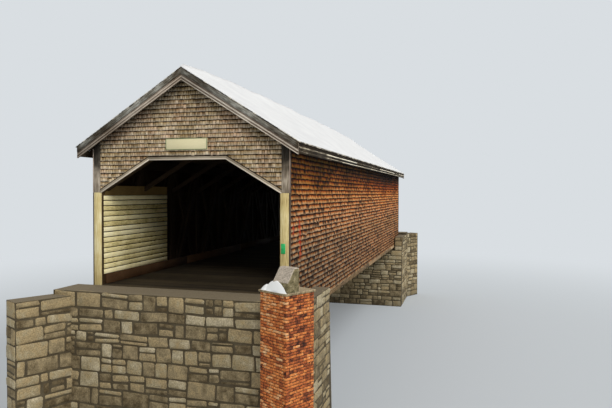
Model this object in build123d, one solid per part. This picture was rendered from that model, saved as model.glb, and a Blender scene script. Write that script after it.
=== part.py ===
from build123d import *
import os
from math import atan2, cos, degrees, hypot, radians, sin, tan

# A timber covered road bridge of one span, in millimetres.
# X runs across the bridge, Y along it, Z up. The near portal faces -Y.
# The origin is at the middle of the bridge in plan, at the foot of the abutments.

# Span and outline of the timber bridge
wall_length = 24300          # between the outer faces of the two portals
wall_width = 6000            # over the outer faces of the corner boards
deck_height = 4500           # top of the deck above the foot of the abutments

# Truss: three layers of timber side by side, panels between posts
panel_count = 12
truss_layer = 75
post_width = 240
chord_depth = 300
top_chord_top = 3720         # top of the upper chord, from the top of the deck
brace_width = 220            # measured along the chord
counterbrace_width = 180

# Floor
floor_beam_width = 160
floor_beam_depth = 280
stringer_width = 100
stringer_depth = 125
stringer_lines = 9
stringer_inset = 210         # edge of the deck to the middle of the outer stringer
deck_thickness = 75
deck_clearance = 2           # deck edge to the truss
curb_width = 80
curb_height = 280

# Cross frames over the road
tie_width = 180
tie_depth = 200
knee_thickness = 100
knee_depth = 120
knee_rise_over_haunch = 30   # the knee braces stay this far above the portal's slope
lateral_width = 120
lateral_depth = 110
plate_depth = 80

# Roof
roof_pitch = 32
roof_thickness = 60
eave_overhang = 300
gable_overhang = 280
rafter_depth = 150
rafter_width = 60
rafter_notch = 63            # depth of the notch over the outer edge of the plate
ridge_board_width = 40
ridge_board_depth = 200
ridge_cap_reach = 170
ridge_cap_thickness = 24
rake_fascia_thickness = 28
rake_fascia_drop = 150
rake_board_thickness = 28
rake_board_drop = 320        # plumb, from the top of the roof to the board's lower edge
eave_board_thickness = 25
eave_board_depth = 205

# Walls
sheathing = 28
gable_thickness = 120
board_thickness = 30
side_board_thickness = 35
side_corner_board_width = 40
wall_drop = 20               # foot of the side walls below the lower chord
corner_board_drop = 10
wall_head_clearance = 4
skirt_height = 160
skirt_drop = 30
skirt_thickness = 24

# Portal: upright jambs, two slopes and a level head
portal_spring = 2660         # where the slope leaves the jamb, above the deck
portal_head = 3565
portal_head_half_width = 1165
portal_trim_width = 85
notice_board_width = 1260
notice_board_height = 320
notice_board_over_head = 275
notice_board_thickness = 45

# Lining inside both portals
lining_thickness = 22
lining_length = 3500
lining_drop = 80             # top of the pale boards below the foot of the portal's slope
lining_band_height = 280

# Masonry
cheek_thickness = 470        # stone beside the end of the bridge
cheek_clearance = 30         # skirt boards to the stone beside them
abutment_rise_behind = 1020  # road side of the back wall to its bridge side
seat_depth = 2400
bed_timber_width = 250
bed_timber_depth = 200
bed_timber_inset = 7         # ends of the bed timbers inside the faces of the trusses
bed_timber_places = (300, 1000, 1700)   # from the back wall to the middle of each timber
end_gap = 30                 # bridge end to the back wall
back_wall_drop = 20          # top of the back wall below the deck
front_batter = 0.1
wing_thickness = 600
wing_drop = 150
wing_splay = 27
wing_root = 1900             # from the tip of a wing back into the abutment
pier_side = 860
pier_from_corner = 470       # middle of the pier outside the corner of the bridge
pier_behind_portal = 1700
pier_turn = -29              # about its own middle, from square to the bridge
cap_side = 940
cap_thickness = 50
cap_rise = 450               # top of the cap above the deck
block_width = 490
block_depth = 355
block_setback = 45           # front of the block behind the edge of the cap
block_front_height = 235     # plumb foot of the front, below its slope
block_top_depth = 150
block_height = 550

# Lengths along the bridge
end_y = wall_length / 2
board_back_y = end_y - board_thickness
truss_end_y = board_back_y - gable_thickness
first_post_y = -truss_end_y + post_width / 2
panel_length = -2 * first_post_y / panel_count
posts_y = [first_post_y + k * panel_length for k in range(panel_count + 1)]
roof_end_y = end_y + gable_overhang
back_wall_y = end_y + end_gap
abutment_rear_y = back_wall_y + abutment_rise_behind

# Widths, from the corner boards inwards and outwards
corner_outer = wall_width / 2
wall_outer = corner_outer - side_board_thickness
truss_outer = wall_outer - sheathing
truss_inner = truss_outer - 3 * truss_layer
portal_half_width = truss_inner - deck_clearance
stringer_spread = portal_half_width - stringer_inset
roof_half_width = corner_outer + eave_overhang
pocket_half_width = corner_outer + cheek_clearance
abutment_half_width = pocket_half_width + cheek_thickness

# Heights, from the top of the deck
deck_bottom = -deck_thickness
floor_beam_top = deck_bottom - stringer_depth
chord_top = floor_beam_top - floor_beam_depth
chord_bottom = chord_top - chord_depth
seat_height = chord_bottom - bed_timber_depth
wall_foot = chord_bottom - wall_drop
top_chord_bottom = top_chord_top - chord_depth
tie_top = top_chord_top + tie_depth
plate_top = tie_top + plate_depth
slope = tan(radians(roof_pitch))
roof_drop = roof_thickness / cos(radians(roof_pitch))
rafter_drop = rafter_depth / cos(radians(roof_pitch))
roof_apex = plate_top - rafter_notch + rafter_drop + roof_drop + slope * truss_outer
haunch_slope = (portal_head - portal_spring) / (portal_half_width - portal_head_half_width)
lining_head = portal_spring - lining_drop


def roof_top(x):
    """Height of the top of the roof boards and shingles at a distance from the ridge."""
    return roof_apex - slope * x


def roof_under(x):
    """Height of the underside of the roof boards."""
    return roof_top(x) - roof_drop


def haunch_line(x):
    """Height of the portal's sloping edge."""
    return portal_spring + haunch_slope * (portal_half_width - x)


def block(x0, x1, y0, y1, z0, z1):
    """A squared timber or board between two corners, heights from the top of the deck."""
    size = Box(abs(x1 - x0), abs(y1 - y0), abs(z1 - z0))
    return Pos((x0 + x1) / 2, (y0 + y1) / 2, (z0 + z1) / 2 + deck_height) * size


def slab_across(outline, y0, y1):
    """An outline in X and Z, as thick as the stretch of Y that is given."""
    points = [(x, min(y0, y1), z + deck_height) for x, z in outline]
    face = make_face(Polyline(*points, close=True))
    return extrude(face, amount=abs(y1 - y0), dir=(0, 1, 0))


def slab_along(outline, x0, x1):
    """An outline in Y and Z, as thick as the stretch of X that is given."""
    points = [(min(x0, x1), y, z + deck_height) for y, z in outline]
    face = make_face(Polyline(*points, close=True))
    return extrude(face, amount=abs(x1 - x0), dir=(1, 0, 0))


def both_sides(outline):
    """The outline and its mirror image about the middle of the bridge."""
    return [outline, [(-x, z) for x, z in outline]]


def layer(number):
    """Inner and outer face of a truss layer: 0 inner, 1 middle, 2 outer."""
    return truss_inner + number * truss_layer, truss_inner + (number + 1) * truss_layer


def chords(z0, z1):
    solids = []
    for side in (-1, 1):
        for number in (0, 2):
            inner, outer = layer(number)
            solids.append(block(side * inner, side * outer, -truss_end_y, truss_end_y, z0, z1))
    return solids


def truss_posts(side):
    inner, outer = layer(1)
    half = post_width / 2
    return [
        block(side * inner, side * outer, y - half, y + half, chord_bottom, top_chord_top)
        for y in posts_y
    ]


def main_braces(side):
    """Two leaves in each panel, leaning from the abutments towards the middle."""
    solids = []
    for k in range(panel_count):
        foot, head = posts_y[k], posts_y[k + 1]
        width = brace_width
        if k >= panel_count / 2:
            foot, head, width = head, foot, -width
        outline = [
            (foot, chord_top),
            (foot + width, chord_top),
            (head, top_chord_bottom),
            (head - width, top_chord_bottom),
        ]
        for number in (0, 2):
            inner, outer = layer(number)
            solids.append(slab_along(outline, side * inner, side * outer))
    return solids


def counterbraces(side):
    """One timber in each panel, between the posts, crossing the main braces."""
    solids = []
    inner, outer = layer(1)
    half = post_width / 2
    for k in range(panel_count):
        foot, head, width = posts_y[k + 1] - half, posts_y[k] + half, -counterbrace_width
        if k >= panel_count / 2:
            foot, head, width = posts_y[k] + half, posts_y[k + 1] - half, counterbrace_width
        outline = [
            (foot, chord_top),
            (foot + width, chord_top),
            (head, top_chord_bottom),
            (head - width, top_chord_bottom),
        ]
        solids.append(slab_along(outline, side * inner, side * outer))
    return solids


def floor_beams():
    """Two beams in each panel on the lower chords, and one between the jambs at each end."""
    half = floor_beam_width / 2
    solids = []
    for k in range(panel_count):
        for third in (1, 2):
            y = posts_y[k] + third * panel_length / 3
            y0, y1 = y - half, y + half
            solids.append(block(-truss_outer, truss_outer, y0, y1, chord_top, floor_beam_top))
    half = portal_half_width
    for end in (-1, 1):
        y0, y1 = end * board_back_y, end * truss_end_y
        solids.append(block(-half, half, y0, y1, chord_top, floor_beam_top))
    return solids


def floor_stringers():
    pitch = 2 * stringer_spread / (stringer_lines - 1)
    half = stringer_width / 2
    return [
        block(x - half, x + half, -end_y, end_y, floor_beam_top, deck_bottom)
        for x in (-stringer_spread + i * pitch for i in range(stringer_lines))
    ]


def deck():
    half = portal_half_width
    return [block(-half, half, -end_y, end_y, deck_bottom, 0)]


def curb_timbers():
    outer = portal_half_width
    return [
        block(side * (outer - curb_width), side * outer, -truss_end_y, truss_end_y, 0, curb_height)
        for side in (-1, 1)
    ]


def knee_braces():
    """A slanting timber from each post to the tie beam over it, parallel to the portal's slope."""
    foot_x = layer(1)[0]
    rise = knee_depth * hypot(1, haunch_slope)
    low_foot = haunch_line(foot_x) + knee_rise_over_haunch

    def meets_tie(z_at_foot):
        return foot_x - (top_chord_top - z_at_foot) / haunch_slope

    outline = [
        (foot_x, low_foot),
        (foot_x, low_foot + rise),
        (meets_tie(low_foot + rise), top_chord_top),
        (meets_tie(low_foot), top_chord_top),
    ]
    half = knee_thickness / 2
    return [
        slab_across(mirrored, y - half, y + half)
        for y in posts_y
        for mirrored in both_sides(outline)
    ]


def tie_beams():
    half = tie_width / 2
    return [
        block(-truss_outer, truss_outer, y - half, y + half, top_chord_top, tie_top)
        for y in posts_y
    ]


def lateral_bracing():
    """A flat cross between each pair of tie beams: one whole bar, and one cut where they meet."""
    middle_z = (top_chord_top + tie_top) / 2
    reach_y = panel_length - tie_width
    reach_x = 2 * truss_inner
    angle = degrees(atan2(reach_y - lateral_width, reach_x))
    bar = Box(2 * reach_x, lateral_width, lateral_depth)
    frame = Box(reach_x, reach_y, lateral_depth)
    whole = (Rot(0, 0, angle) * bar) & frame
    cut = ((Rot(0, 0, -angle) * bar) & frame) - whole
    bars = whole.solids() + cut.solids()
    solids = []
    for k in range(panel_count):
        middle_y = posts_y[k] + panel_length / 2
        solids.extend(Pos(0, middle_y, middle_z + deck_height) * bar for bar in bars)
    return solids


def wall_plates():
    return [
        block(side * truss_inner, side * truss_outer, -truss_end_y, truss_end_y, tie_top, plate_top)
        for side in (-1, 1)
    ]


def rafters():
    """Pairs of rafters at half panels, notched over the plates and cut plumb at the ridge."""
    top = ridge_board_width / 2
    tail = roof_half_width - eave_board_thickness
    seat_x = (roof_under(0) - rafter_drop - plate_top) / slope
    outline = [
        (top, roof_under(top)),
        (tail, roof_under(tail)),
        (tail, roof_under(tail) - rafter_drop),
        (truss_outer, roof_under(truss_outer) - rafter_drop),
        (truss_outer, plate_top),
        (max(seat_x, truss_inner), plate_top),
        (top, roof_under(top) - rafter_drop),
    ]
    half = rafter_width / 2
    return [
        slab_across(mirrored, y - half, y + half)
        for y in (posts_y[0] + j * panel_length / 2 for j in range(2 * panel_count + 1))
        for mirrored in both_sides(outline)
    ]


def ridge_board():
    half = ridge_board_width / 2
    head = roof_under(half)
    return [block(-half, half, -truss_end_y, truss_end_y, head - ridge_board_depth, head)]


def roof_slope(side):
    outline = [
        (0, roof_top(0)),
        (side * roof_half_width, roof_top(roof_half_width)),
        (side * roof_half_width, roof_under(roof_half_width)),
        (0, roof_under(0)),
    ]
    return [slab_across(outline, -roof_end_y, roof_end_y)]


def ridge_cap():
    """Saddle boards over the ridge, out over the rake fascias."""
    rise = ridge_cap_thickness / cos(radians(roof_pitch))
    reach = ridge_cap_reach
    outline = [
        (0, roof_top(0)),
        (reach, roof_top(reach)),
        (reach, roof_top(reach) + rise),
        (0, roof_top(0) + rise),
        (-reach, roof_top(reach) + rise),
        (-reach, roof_top(reach)),
    ]
    end = roof_end_y + rake_fascia_thickness
    return [slab_across(outline, -end, end)]


def rake_fascias(end):
    """The upper, outer boards of one gable, which cover the edge of the roof."""
    outline = [
        (0, roof_top(0)),
        (roof_half_width, roof_top(roof_half_width)),
        (roof_half_width, roof_top(roof_half_width) - rake_fascia_drop),
        (0, roof_top(0) - rake_fascia_drop),
    ]
    y0, y1 = end * roof_end_y, end * (roof_end_y + rake_fascia_thickness)
    return [slab_across(mirrored, y0, y1) for mirrored in both_sides(outline)]


def rake_boards(end):
    """The lower boards of one gable, behind the fascias and under the roof boards."""
    outline = [
        (0, roof_under(0)),
        (roof_half_width, roof_under(roof_half_width)),
        (roof_half_width, roof_top(roof_half_width) - rake_board_drop),
        (0, roof_top(0) - rake_board_drop),
    ]
    y0, y1 = end * roof_end_y, end * (roof_end_y - rake_board_thickness)
    return [slab_across(mirrored, y0, y1) for mirrored in both_sides(outline)]


def eave_boards():
    inner = roof_half_width - eave_board_thickness
    outline = [
        (inner, roof_under(inner)),
        (roof_half_width, roof_under(roof_half_width)),
        (roof_half_width, roof_under(roof_half_width) - eave_board_depth),
        (inner, roof_under(roof_half_width) - eave_board_depth),
    ]
    end = roof_end_y - rake_board_thickness
    return [slab_across(mirrored, -end, end) for mirrored in both_sides(outline)]


def side_wall(side):
    head = roof_under(wall_outer) - rafter_drop - wall_head_clearance
    return [block(side * truss_outer, side * wall_outer, -board_back_y, board_back_y, wall_foot, head)]


def gable_wall(end):
    """The boarded gable over the road with the posts beside it, in one piece."""
    outline = [
        (0, roof_under(0)),
        (truss_outer, roof_under(truss_outer)),
        (truss_outer, chord_bottom),
        (portal_half_width, chord_bottom),
        (portal_half_width, portal_spring),
        (portal_head_half_width, portal_head),
        (-portal_head_half_width, portal_head),
        (-portal_half_width, portal_spring),
        (-portal_half_width, chord_bottom),
        (-truss_outer, chord_bottom),
        (-truss_outer, roof_under(truss_outer)),
    ]
    return [slab_across(outline, end * board_back_y, end * truss_end_y)]


def corner_boards(end):
    """Old upper and newer lower boards at both corners of a gable, with narrow side boards."""
    y0, y1 = end * end_y, end * board_back_y
    upper = [
        (portal_half_width, portal_spring),
        (corner_outer, portal_spring),
        (corner_outer, roof_under(corner_outer)),
        (portal_half_width, roof_under(portal_half_width)),
    ]
    solids = [slab_across(mirrored, y0, y1) for mirrored in both_sides(upper)]
    side_head = roof_under(corner_outer) - rafter_drop - wall_head_clearance
    y2 = end * (board_back_y - side_corner_board_width)
    for side in (-1, 1):
        inner, outer = side * portal_half_width, side * corner_outer
        foot = chord_bottom - corner_board_drop
        solids.append(block(inner, outer, y0, y1, foot, portal_spring))
        solids.append(block(side * wall_outer, outer, y1, y2, wall_foot, side_head))
    return solids


def portal_trim(end):
    """Boards along the slopes and the head of the opening, mitred together."""
    slope_length = hypot(1, haunch_slope)
    rise = portal_trim_width * slope_length
    shift = portal_trim_width * (slope_length - 1) / haunch_slope
    outer_head_x = portal_head_half_width + shift
    slope_board = [
        (portal_half_width, portal_spring),
        (portal_half_width, portal_spring + rise),
        (outer_head_x, portal_head + portal_trim_width),
        (portal_head_half_width, portal_head),
    ]
    head_board = [
        (portal_head_half_width, portal_head),
        (outer_head_x, portal_head + portal_trim_width),
        (-outer_head_x, portal_head + portal_trim_width),
        (-portal_head_half_width, portal_head),
    ]
    y0, y1 = end * end_y, end * board_back_y
    solids = [slab_across(mirrored, y0, y1) for mirrored in both_sides(slope_board)]
    solids.append(slab_across(head_board, y0, y1))
    return solids


def side_skirt_boards():
    end = board_back_y - side_corner_board_width
    face = wall_outer + skirt_thickness
    foot = chord_bottom - skirt_drop
    return [
        block(side * wall_outer, side * face, -end, end, foot, foot + skirt_height)
        for side in (-1, 1)
    ]


def notice_board():
    half = notice_board_width / 2
    face = -board_back_y - notice_board_thickness
    foot = portal_head + notice_board_over_head
    return [block(-half, half, face, -board_back_y, foot, foot + notice_board_height)]


def portal_lining(end, z0, z1):
    y0, y1 = end * truss_end_y, end * (truss_end_y - lining_length)
    inner = truss_inner - lining_thickness
    return [block(side * inner, side * truss_inner, y0, y1, z0, z1) for side in (-1, 1)]


def lining_bands():
    """The boards over both linings, notched round the knee braces."""
    knees = knee_braces()
    bands = []
    for end in (-1, 1):
        for band in portal_lining(end, lining_head, lining_head + lining_band_height):
            box = band.bounding_box()
            for knee in knees:
                other = knee.bounding_box()
                beside = other.min.Y > box.max.Y or other.max.Y < box.min.Y
                across = other.min.X > box.max.X or other.max.X < box.min.X
                if not beside and not across:
                    band = band - knee
            bands.extend(band.solids())
    return bands


def abutment(end):
    """Stone mass with a battered front and a pocket in its top, where the bridge sits."""
    foot = -deck_height
    seat_front = back_wall_y - seat_depth
    front_foot = seat_front - front_batter * (seat_height - foot)
    front_top = seat_front + front_batter * (-wing_drop - seat_height)
    outline = [
        (end * abutment_rear_y, foot),
        (end * front_foot, foot),
        (end * front_top, -wing_drop),
        (end * back_wall_y, -wing_drop),
        (end * back_wall_y, -back_wall_drop),
        (end * abutment_rear_y, -back_wall_drop),
    ]
    mass = slab_along(outline, -abutment_half_width, abutment_half_width)
    half = pocket_half_width
    pocket = block(-half, half, end * front_foot, end * back_wall_y, seat_height, 0)
    return [mass - pocket]


def bed_timbers():
    half = bed_timber_width / 2
    solids = []
    for end in (-1, 1):
        for place in bed_timber_places:
            y = end * (back_wall_y - place)
            reach = truss_outer - bed_timber_inset
            solids.append(block(-reach, reach, y - half, y + half, seat_height, chord_bottom))
    return solids


# The wing walls reach as far out and back as the cap of the pier at the near right corner.
pier_centre_x = corner_outer + pier_from_corner
pier_y = -end_y - pier_behind_portal
cap_reach = cap_side / 2 * (abs(cos(radians(pier_turn))) + abs(sin(radians(pier_turn))))
wing_tip_x = pier_centre_x + cap_reach - wing_thickness / 2 * cos(radians(wing_splay))
wing_tip_y = pier_y - cap_reach + wing_thickness / 2 * sin(radians(wing_splay))


def turned(solid, x, y, angle):
    """A solid turned about its own middle and set down at a place."""
    return Pos(x, y, deck_height) * Rot(0, 0, angle) * solid


def wing_wall(side, end, length):
    """A splayed wall from the abutment's rear corner out to the wing's tip."""
    height = deck_height - wing_drop
    from_tip = wing_root - length
    middle = from_tip + length / 2
    wall = Pos(0, middle, -deck_height + height / 2) * Box(wing_thickness, length, height)
    wall = turned(wall, wing_tip_x, wing_tip_y, wing_splay)
    wall = wall - abutment(-1)[0]
    if side < 0:
        wall = mirror(wall, about=Plane.YZ)
    if end > 0:
        wall = mirror(wall, about=Plane.XZ)
    return wall


def brick_pier():
    height = deck_height + cap_rise - cap_thickness
    shaft = Pos(0, 0, cap_rise - cap_thickness - height / 2) * Box(pier_side, pier_side, height)
    return [turned(shaft, pier_centre_x, pier_y, pier_turn)]


def wing_walls(end):
    """Both wings of one abutment. The near right one runs up against the brick pier."""
    left = wing_wall(-1, end, wing_root)
    if end > 0:
        return [left, wing_wall(1, end, wing_root)]
    to_pier = Vector(pier_centre_x - wing_tip_x, pier_y - wing_tip_y, 0)
    along = Vector(-sin(radians(wing_splay)), cos(radians(wing_splay)), 0)
    return [left, wing_wall(1, end, wing_root - to_pier.dot(along)) - brick_pier()[0]]


def pier_cap():
    slab = Pos(0, 0, cap_rise - cap_thickness / 2) * Box(cap_side, cap_side, cap_thickness)
    return [turned(slab, pier_centre_x, pier_y, pier_turn)]


def pier_block():
    """A cast block on the cap, whose front is plumb at its foot and leans back to a narrow top."""
    right = cap_side / 2
    front = -cap_side / 2 + block_setback
    back = front + block_depth
    points = [
        (right, front, cap_rise),
        (right, back, cap_rise),
        (right, back, cap_rise + block_height),
        (right, back - block_top_depth, cap_rise + block_height),
        (right, front, cap_rise + block_front_height),
    ]
    face = make_face(Polyline(*points, close=True))
    desk = extrude(face, amount=block_width, dir=(-1, 0, 0))
    return [turned(desk, pier_centre_x, pier_y, pier_turn)]


nodes = {
    "near_abutment": abutment(-1),
    "far_abutment": abutment(1),
    "near_wing_walls": wing_walls(-1),
    "far_wing_walls": wing_walls(1),
    "brick_pier": brick_pier(),
    "pier_cap": pier_cap(),
    "pier_block": pier_block(),
    "bed_timbers": bed_timbers(),
    "bottom_chords": chords(chord_bottom, chord_top),
    "top_chords": chords(top_chord_bottom, top_chord_top),
    "left_truss_posts": truss_posts(-1),
    "right_truss_posts": truss_posts(1),
    "left_truss_braces": main_braces(-1),
    "right_truss_braces": main_braces(1),
    "left_counterbraces": counterbraces(-1),
    "right_counterbraces": counterbraces(1),
    "floor_beams": floor_beams(),
    "floor_stringers": floor_stringers(),
    "deck": deck(),
    "curb_timbers": curb_timbers(),
    "near_lining": portal_lining(-1, curb_height, lining_head),
    "far_lining": portal_lining(1, curb_height, lining_head),
    "lining_bands": lining_bands(),
    "tie_beams": tie_beams(),
    "knee_braces": knee_braces(),
    "lateral_bracing": lateral_bracing(),
    "wall_plates": wall_plates(),
    "rafters": rafters(),
    "ridge_board": ridge_board(),
    "left_roof_slope": roof_slope(-1),
    "right_roof_slope": roof_slope(1),
    "ridge_cap": ridge_cap(),
    "near_rake_fascias": rake_fascias(-1),
    "far_rake_fascias": rake_fascias(1),
    "near_rake_boards": rake_boards(-1),
    "far_rake_boards": rake_boards(1),
    "eave_boards": eave_boards(),
    "left_side_wall": side_wall(-1),
    "right_side_wall": side_wall(1),
    "near_gable_wall": gable_wall(-1),
    "far_gable_wall": gable_wall(1),
    "near_corner_boards": corner_boards(-1),
    "far_corner_boards": corner_boards(1),
    "near_portal_trim": portal_trim(-1),
    "far_portal_trim": portal_trim(1),
    "side_skirt_boards": side_skirt_boards(),
    "notice_board": notice_board(),
}

os.makedirs("parts", exist_ok=True)
for name, solids in nodes.items():
    pieces = [solid for shape in solids for solid in shape.solids()]
    export_step(pieces[0] if len(pieces) == 1 else Compound(children=pieces), f"parts/{name}.step")
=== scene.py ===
from math import ceil, cos, hypot, pi, radians, sin, tan

import bmesh
import bpy
import numpy as np
from mathutils import Matrix, Vector, noise


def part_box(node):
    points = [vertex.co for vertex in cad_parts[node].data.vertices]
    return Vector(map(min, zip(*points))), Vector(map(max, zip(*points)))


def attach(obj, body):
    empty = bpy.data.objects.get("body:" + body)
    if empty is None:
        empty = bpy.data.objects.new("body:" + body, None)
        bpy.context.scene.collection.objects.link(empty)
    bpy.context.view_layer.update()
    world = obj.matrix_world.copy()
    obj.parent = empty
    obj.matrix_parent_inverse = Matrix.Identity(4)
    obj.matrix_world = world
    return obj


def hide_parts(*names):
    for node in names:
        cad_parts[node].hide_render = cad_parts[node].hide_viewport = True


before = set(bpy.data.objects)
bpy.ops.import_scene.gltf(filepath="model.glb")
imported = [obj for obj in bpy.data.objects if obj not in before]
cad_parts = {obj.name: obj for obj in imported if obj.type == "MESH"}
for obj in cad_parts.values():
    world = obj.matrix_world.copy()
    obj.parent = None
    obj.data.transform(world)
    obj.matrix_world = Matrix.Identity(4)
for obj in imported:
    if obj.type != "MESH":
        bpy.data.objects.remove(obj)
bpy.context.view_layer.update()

scene = bpy.context.scene
scene.view_settings.view_transform = "Standard"

# The places of things, in metres, from the solids
deck_low, deck_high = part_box("deck")
deck_top = deck_high.z
jamb = deck_high.x
wall_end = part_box("near_corner_boards")[0].y
corner_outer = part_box("near_corner_boards")[1].x
gable_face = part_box("near_gable_wall")[0].y
truss_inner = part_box("near_lining")[1].x
side_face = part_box("right_side_wall")[1].x
wall_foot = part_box("right_side_wall")[0].z
wall_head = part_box("right_side_wall")[1].z
skirt_low, skirt_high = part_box("side_skirt_boards")
roof_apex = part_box("left_roof_slope")[1].z
roof_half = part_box("right_roof_slope")[1].x
roof_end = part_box("right_roof_slope")[1].y
portal_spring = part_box("near_portal_trim")[0].z
portal_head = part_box("near_portal_trim")[1].z

# Sizes that no box of a solid gives
portal_head_half = 1.165
trim_width = 0.085
opening_head = portal_head - trim_width
roof_thickness = 0.06
pitch = radians(32)
slope = tan(pitch)
UP = Vector((0, 0, 1))

# The ends and the sides, by the sign of their place along Y and across X
ends = ((-1, "near"), (1, "far"))
sides = ((1, "right"), (-1, "left"))

# How much of each course of shingles shows
side_exposure = 0.1435
gable_exposure = 0.122
roof_exposure = 0.14


def roof_top(x):
    """Height of the roof boards' upper face at a distance from the ridge."""
    return roof_apex - slope * abs(x)


def roof_under(x):
    """Height of the roof boards' lower face at a distance from the ridge."""
    return roof_top(x) - roof_thickness / cos(pitch)


# Materials

def linear(colour):
    """An sRGB hex colour as the linear values that the shaders take."""
    values = [int(colour[i:i + 2], 16) / 255 for i in (1, 3, 5)]
    return [v / 12.92 if v <= 0.04045 else ((v + 0.055) / 1.055) ** 2.4 for v in values] + [1]


def add(tree, kind, settings=None, **inputs):
    """Add a shader node with its settings and links.

    Settings are the operation as a word, a ramp's stops as a list, or names with their values.
    Inputs take a value, a hex colour, a node or a node's output.
    """
    made = tree.nodes.new("ShaderNode" + kind)
    if isinstance(settings, str):
        made.operation = settings
    elif isinstance(settings, list):
        ramp = made.color_ramp.elements
        ramp.remove(ramp[1])
        ramp[0].position = settings[0][0]
        ramp[0].color = linear(settings[0][1])
        for place, colour in settings[1:]:
            ramp.new(place).color = linear(colour)
    else:
        for name, value in (settings or {}).items():
            setattr(made, name, value)
    for name, value in inputs.items():
        key = int(name[1:]) if name[1:].isdigit() else name.replace("_", " ")
        if isinstance(value, bpy.types.Node):
            tree.links.new(value.outputs[0], made.inputs[key])
        elif isinstance(value, bpy.types.NodeSocket):
            tree.links.new(value, made.inputs[key])
        elif isinstance(value, str):
            made.inputs[key].default_value = linear(value)
        else:
            made.inputs[key].default_value = value
    return made


# What a Mix node mixes: numbers, two colours by a share, or a colour with one that darkens it
numbers = {"data_type": "FLOAT"}
colours = {"data_type": "RGBA"}
darkening = {"data_type": "RGBA", "blend_type": "MULTIPLY"}


def finished(name, make, roughness, specular):
    """A material whose colour, height and depth of relief come from make(tree)."""
    material = bpy.data.materials.new(name)
    material.use_nodes = True
    tree = material.node_tree
    tree.nodes.clear()
    colour, height, depth = make(tree)
    bump = add(tree, "Bump", Height=height, Distance=depth, Strength=1.0)
    surface = add(tree, "BsdfPrincipled", Base_Color=colour, Roughness=roughness, Specular_IOR_Level=specular,
                  Normal=bump)
    add(tree, "OutputMaterial", Surface=surface)
    return material


# A streak of grain is this many times as long as it is wide
grain_stretch = 14


def wood(name, tones, streak=0.008, blotch=0.8, coords="board", turn=(0, 0, 0), fold=None, board_width=0,
         roughness=0.8, contrast=1.0, depth=0.003, each=0.35, extra=None):
    """Wood with streaks along the grain, blotches, and each board's own shade.

    coords is board for pieces with a UV map along their boards, shingle for one with the grain
    upright in it, and object for a solid, whose grain runs along X after the turn. The grain of a
    solid is mirrored where the fold's axis is zero. Streak and blotch are the widths of a streak and
    a blotch, board_width is that of the boards drawn on a solid, and each is the share of the tone
    that a block's own shade gives.
    """
    def make(tree):
        place = add(tree, "TexCoord").outputs["Object"]
        if coords == "object":
            vector = place
            if fold:
                split = add(tree, "SeparateXYZ", Vector=place)
                parts = {axis: split.outputs[axis] for axis in "XYZ"}
                parts[fold] = add(tree, "Math", "ABSOLUTE", i0=split.outputs[fold])
                vector = add(tree, "CombineXYZ", **parts)
            vector = add(tree, "Mapping", {"vector_type": "TEXTURE"}, Vector=vector, Rotation=turn).outputs[0]
            shade = add(tree, "TexNoise", Vector=place, Scale=0.9, Detail=0.0)
        else:
            vector = add(tree, "UVMap", {"uv_map": "UVMap"}).outputs[0]
            shade = add(tree, "Attribute", {"attribute_name": "shade"}).outputs["Fac"]
        stretch = (1, grain_stretch, 1) if coords == "shingle" else (grain_stretch, 1, 1)
        long = add(tree, "Mapping", {"vector_type": "TEXTURE"}, Vector=vector,
                   Scale=[streak * s for s in stretch])
        streaks = add(tree, "TexNoise", Vector=long, Scale=1.0, Detail=4.0, Roughness=0.65)
        blotches = add(tree, "TexNoise", Vector=place, Scale=1 / blotch, Detail=3.0, Roughness=0.6)
        fine = add(tree, "Mix", numbers, i0=each, i2=streaks, i3=shade)
        both = add(tree, "Mix", numbers, i0=0.3, i2=fine, i3=blotches)
        reach = 0.22 / contrast
        spread = add(tree, "MapRange", Value=both, From_Min=0.5 - reach, From_Max=0.5 + reach)
        stops = [(i / (len(tones) - 1), tone) for i, tone in enumerate(tones)]
        colour = add(tree, "ValToRGB", stops, Fac=spread).outputs[0]
        height = streaks.outputs[0]
        if board_width:
            split = add(tree, "SeparateXYZ", Vector=vector)
            count = add(tree, "Math", "DIVIDE", i0=split.outputs["Y"], i1=board_width)
            part = add(tree, "Math", "FRACT", i0=count)
            joint = add(tree, "Math", "COMPARE", i0=part, i1=0.5, i2=0.48)
            row = add(tree, "Math", "FLOOR", i0=count)
            own = add(tree, "TexWhiteNoise", {"noise_dimensions": "1D"}, W=row)
            tone = add(tree, "MapRange", Value=own, To_Min=0.65, To_Max=1.1)
            dark = add(tree, "Math", "MULTIPLY", i0=tone, i1=joint)
            colour = add(tree, "Mix", darkening, i0=1.0, i6=colour, i7=dark).outputs[2]
            height = add(tree, "Math", "MULTIPLY", i0=height, i1=joint).outputs[0]
        if extra:
            colour = extra(tree, colour, vector, place)
        return colour, height, depth
    return finished(name, make, roughness, specular=0.12)


def lap_shade_and_highlight(exposure, stops, tone, strength, ragged):
    """Shingles bleached at their lower edges by sun and rain, with painted highlight, and dark under the lap
    with dirt and painted shadow.
    """
    def extra(tree, colour, vector, place):
        split = add(tree, "SeparateXYZ", Vector=vector)
        waves = add(tree, "TexNoise", Vector=place, Scale=9.0, Detail=2.0)
        shift = add(tree, "MapRange", Value=waves, To_Min=-ragged, To_Max=ragged)
        share = add(tree, "Math", "DIVIDE", i0=split.outputs["Y"], i1=exposure)
        level = add(tree, "Math", "ADD", i0=share, i1=shift)
        ramp = add(tree, "ValToRGB", stops, Fac=level)
        shaded = add(tree, "Mix", darkening, i0=1.0, i6=colour, i7=ramp).outputs[2]
        near = add(tree, "MapRange", Value=level, From_Min=0.1, From_Max=0.55, To_Min=strength, To_Max=0.0)
        return add(tree, "Mix", colours, i0=near, i6=shaded, i7=tone).outputs[2]
    return extra


# Lap ramps: the pale lower edge is partly painted highlight, the dark top is painted shadow under the next
# course, with dirt
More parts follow.
